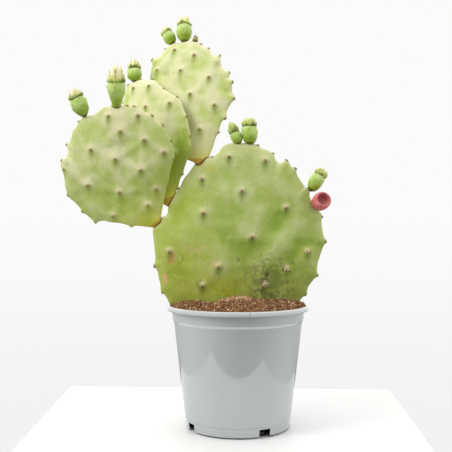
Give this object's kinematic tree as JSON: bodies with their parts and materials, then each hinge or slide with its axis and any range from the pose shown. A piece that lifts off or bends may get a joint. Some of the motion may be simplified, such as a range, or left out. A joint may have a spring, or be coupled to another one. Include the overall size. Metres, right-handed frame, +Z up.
{
  "type": "potted paddle cactus",
  "caption": "Potted cactus with a broad rooted pad, smaller pads growing from its rim, closed flower buds and a ripe fruit, standing in a round tapered nursery pot.",
  "frame": {"origin": "centre of the pot's underside, on the surface it stands on", "axes": "+Z up along the pot's axis; the broad faces of the rooted pad look along -Y and +Y; +X to the viewer's right when looking along +Y"},
  "size_m": [0.3583, 0.19, 0.5727],
  "materials": {
    "pot_plastic": "satin grey moulded plastic",
    "potting_mix": null,
    "old_pad_skin": null,
    "young_pad_skin": null,
    "bud_skin": null,
    "petal_skin": null,
    "fruit_skin": null
  },
  "bodies": {
    "root": {"pot": "pot_plastic", "soil": "potting_mix", "pad_base": "old_pad_skin", "pad_left": "young_pad_skin", "pad_middle": "young_pad_skin", "pad_top": "young_pad_skin", "bud_left_outer_ovary": "bud_skin", "bud_left_outer_petals": "petal_skin", "bud_left_crown_ovary": "bud_skin", "bud_left_crown_petals": "petal_skin", "bud_middle_ovary": "bud_skin", "bud_middle_petals": "petal_skin", "bud_top_outer_ovary": "bud_skin", "bud_top_outer_petals": "petal_skin", "bud_top_crown_ovary": "bud_skin", "bud_top_crown_petals": "petal_skin", "bud_base_slim_ovary": "bud_skin", "bud_base_slim_petals": "petal_skin", "bud_base_crown_ovary": "bud_skin", "bud_base_crown_petals": "petal_skin", "bud_base_right_ovary": "bud_skin", "bud_base_right_petals": "petal_skin", "bud_sprout": "bud_skin", "red_fruit": "fruit_skin"}
  },
  "joints": []
}
